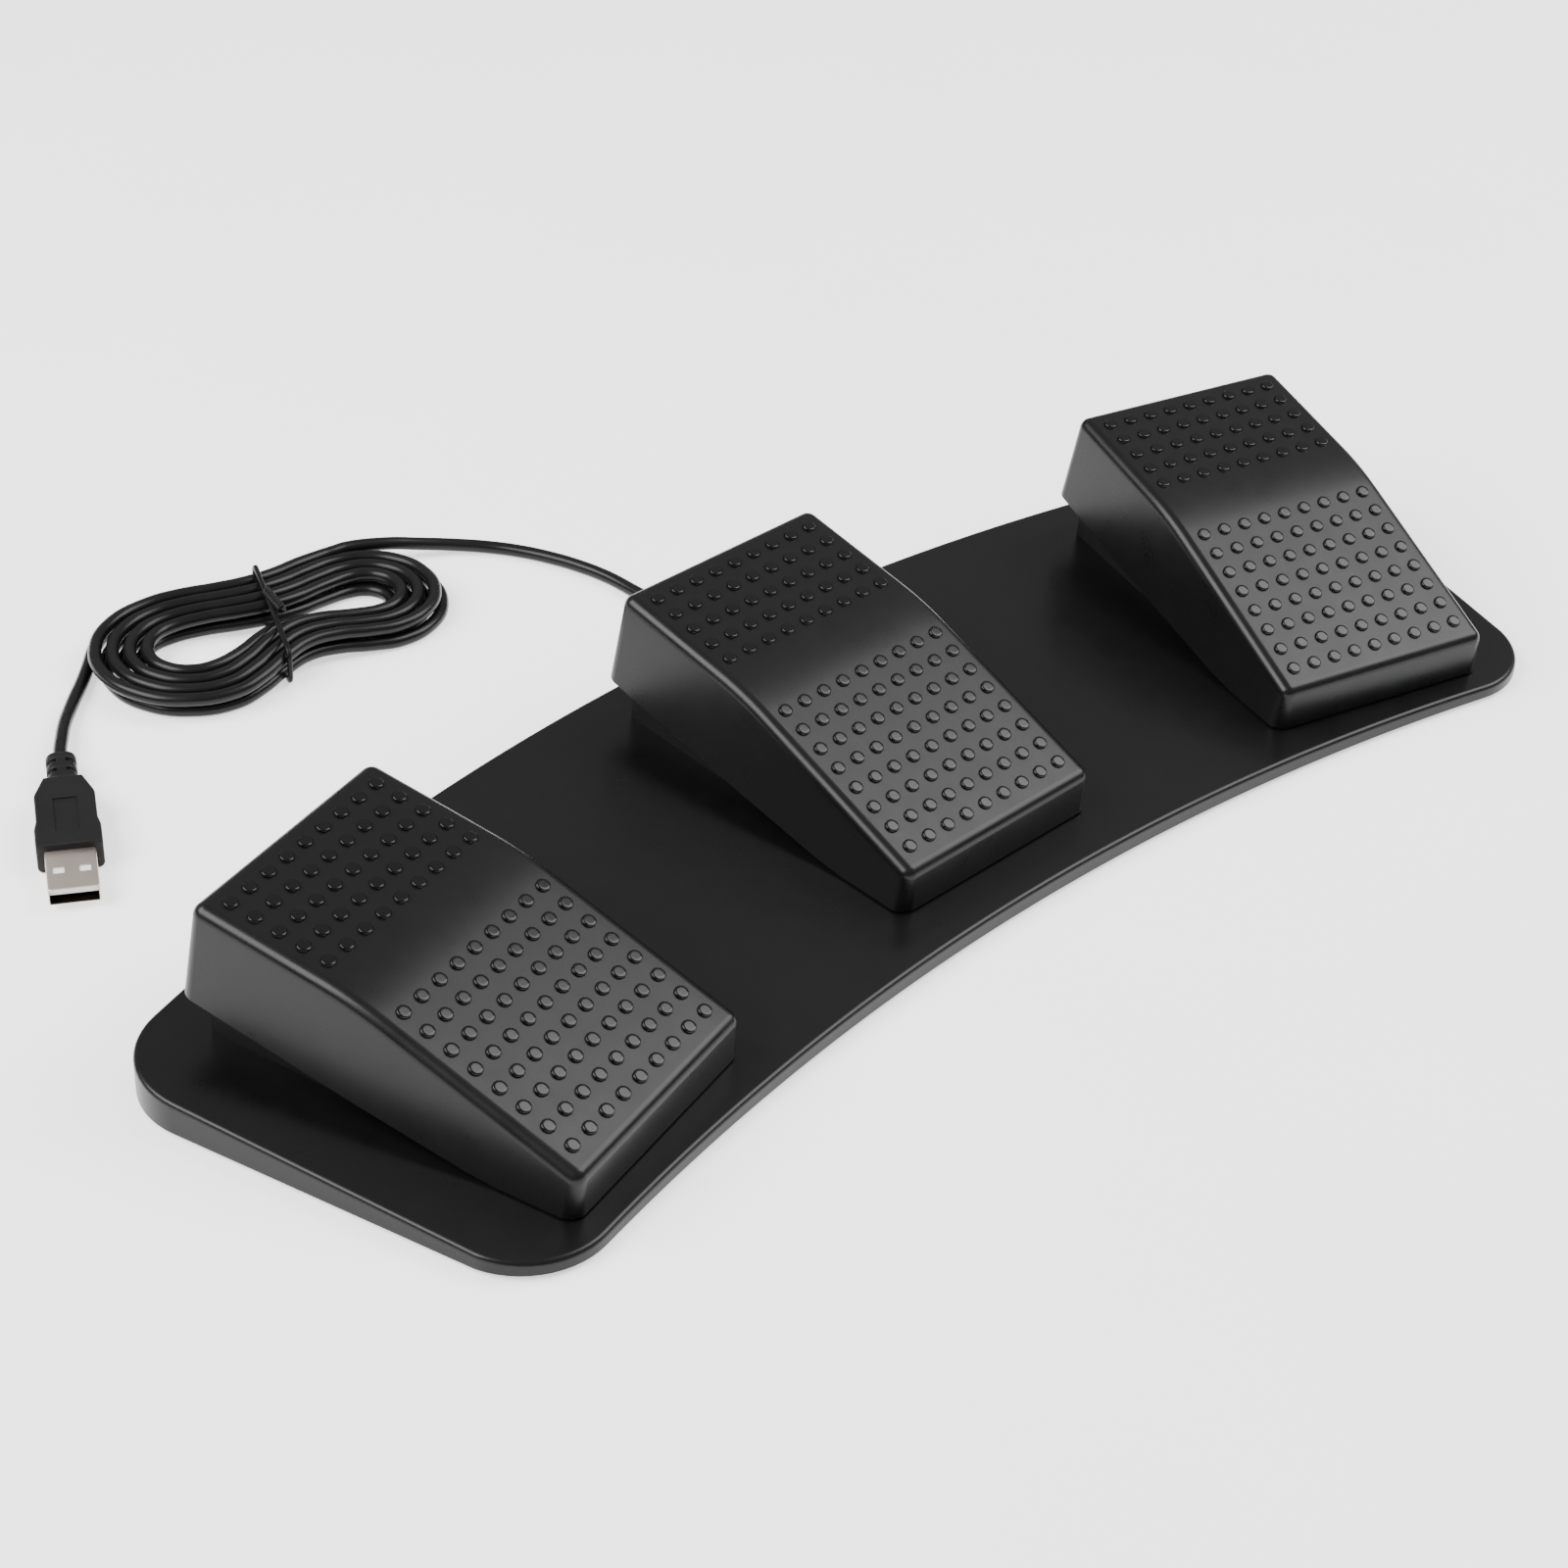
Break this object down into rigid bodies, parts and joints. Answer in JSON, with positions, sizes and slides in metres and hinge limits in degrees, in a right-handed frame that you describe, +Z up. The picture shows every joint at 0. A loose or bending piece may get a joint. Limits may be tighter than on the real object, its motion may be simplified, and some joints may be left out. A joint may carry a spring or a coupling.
{
  "type": "usb foot pedal switch",
  "caption": "Foot switch with sprung rocking pedals, bumped treads and micro switches on a bowed low base, its USB cord tied in a hank with the plug at its end.",
  "frame": {"origin": "on the floor, under the middle of the base's outline", "axes": "+X to the user's right along the row of pedals, +Y away from the user to the rear edge and the cord, +Z up"},
  "size_m": [0.396, 0.2623, 0.0487],
  "materials": {
    "base_abs": "satin moulded black ABS",
    "cover_abs": "fine-textured black ABS",
    "pedestal_abs": "satin moulded black ABS",
    "bottom_steel": "black powder coat",
    "screw_steel": "zinc plated",
    "foot_rubber": "matt",
    "board_laminate": "solder resist",
    "cord_pvc": "glossy black PVC",
    "wire_pvc": "red PVC insulation",
    "tie_pvc": "PVC coated wire",
    "plug_pvc": "matt moulded PVC",
    "plug_nickel": "nickel plated sheet",
    "tongue_plastic": "moulded",
    "contact_gilt": "gilded",
    "pin_steel": "ground",
    "spring_steel": "bright drawn wire and sheet",
    "switch_plastic": "moulded",
    "plunger_plastic": "moulded"
  },
  "bodies": {
    "base": {"base_shell": "base_abs", "bottom_plate": "bottom_steel", "bottom_screws": "screw_steel", "rubber_feet": "foot_rubber", "controller_board": "board_laminate", "board_screws": "screw_steel", "cable_grommet": "cord_pvc", "inner_usb_lead": "wire_pvc", "left_pedestal": "pedestal_abs", "middle_pedestal": "pedestal_abs", "right_pedestal": "pedestal_abs", "left_pedestal_screws": "screw_steel", "middle_pedestal_screws": "screw_steel", "right_pedestal_screws": "screw_steel", "left_hinge_pin": "pin_steel", "middle_hinge_pin": "pin_steel", "right_hinge_pin": "pin_steel", "left_return_spring": "spring_steel", "middle_return_spring": "spring_steel", "right_return_spring": "spring_steel", "left_microswitch": "switch_plastic", "middle_microswitch": "switch_plastic", "right_microswitch": "switch_plastic", "left_switch_wire": "wire_pvc", "middle_switch_wire": "wire_pvc", "right_switch_wire": "wire_pvc", "cord_lead": "cord_pvc", "cord_hank": "cord_pvc", "cord_tail": "cord_pvc", "hank_tie": "tie_pvc", "plug_grip": "plug_pvc", "plug_shell": "plug_nickel", "plug_tongue": "tongue_plastic", "plug_contacts": "contact_gilt"},
    "left_pedal": {"left_cover": "cover_abs"},
    "left_lever": {"left_switch_lever": "spring_steel"},
    "left_plunger": {"left_switch_plunger": "plunger_plastic"},
    "middle_pedal": {"middle_cover": "cover_abs"},
    "middle_lever": {"middle_switch_lever": "spring_steel"},
    "middle_plunger": {"middle_switch_plunger": "plunger_plastic"},
    "right_pedal": {"right_cover": "cover_abs"},
    "right_lever": {"right_switch_lever": "spring_steel"},
    "right_plunger": {"right_switch_plunger": "plunger_plastic"}
  },
  "joints": [
    {"name": "left_press", "type": "hinge", "parent": "base", "child": "left_pedal", "pos_m": [-0.1306, -0.03505, 0.01398], "axis": [-0.9673, -0.2534, -0.0142], "range_deg": [0, 5.5], "stiffness_Nm_per_rad": 4.5, "springref_deg": -4.58, "deforming": ["left_return_spring"]},
    {"name": "left_lever_turn", "type": "hinge", "parent": "base", "child": "left_lever", "pos_m": [-0.12472, 0.00091, 0.02811], "axis": [-0.9673, -0.2534, -0.0142], "range_deg": [0, 12.7]},
    {"name": "left_plunger_slide", "type": "slide", "parent": "base", "child": "left_plunger", "axis": [0, 0.0558, -0.9984], "range_m": [0, 0.0014]},
    {"name": "middle_press", "type": "hinge", "parent": "base", "child": "middle_pedal", "pos_m": [0, -0.01648, 0.01502], "axis": [-1, 0, 0], "range_deg": [0, 5.5], "stiffness_Nm_per_rad": 4.5, "springref_deg": -4.58, "deforming": ["middle_return_spring"]},
    {"name": "middle_lever_turn", "type": "hinge", "parent": "base", "child": "middle_lever", "pos_m": [0.015, 0.01679, 0.029], "axis": [-1, 0, 0], "range_deg": [0, 12.7]},
    {"name": "middle_plunger_slide", "type": "slide", "parent": "base", "child": "middle_plunger", "axis": [0, 0.0558, -0.9984], "range_m": [0, 0.0014]},
    {"name": "right_press", "type": "hinge", "parent": "base", "child": "right_pedal", "pos_m": [0.1306, -0.03505, 0.01398], "axis": [-0.9673, 0.2534, 0.0142], "range_deg": [0, 5.5], "stiffness_Nm_per_rad": 4.5, "springref_deg": -4.58, "deforming": ["right_return_spring"]},
    {"name": "right_lever_turn", "type": "hinge", "parent": "base", "child": "right_lever", "pos_m": [0.15374, -0.00669, 0.02769], "axis": [-0.9673, 0.2534, 0.0142], "range_deg": [0, 12.7]},
    {"name": "right_plunger_slide", "type": "slide", "parent": "base", "child": "right_plunger", "axis": [0, 0.0558, -0.9984], "range_m": [0, 0.0014]}
  ],
  "couplings": [
    {"joint": "left_lever_turn", "follows": "left_press", "ratio": 2.2999},
    {"joint": "left_plunger_slide", "follows": "left_press", "m_per_rad": 0.013543},
    {"joint": "middle_lever_turn", "follows": "middle_press", "ratio": 2.2999},
    {"joint": "middle_plunger_slide", "follows": "middle_press", "m_per_rad": 0.013543},
    {"joint": "right_lever_turn", "follows": "right_press", "ratio": 2.2999},
    {"joint": "right_plunger_slide", "follows": "right_press", "m_per_rad": 0.013543}
  ]
}
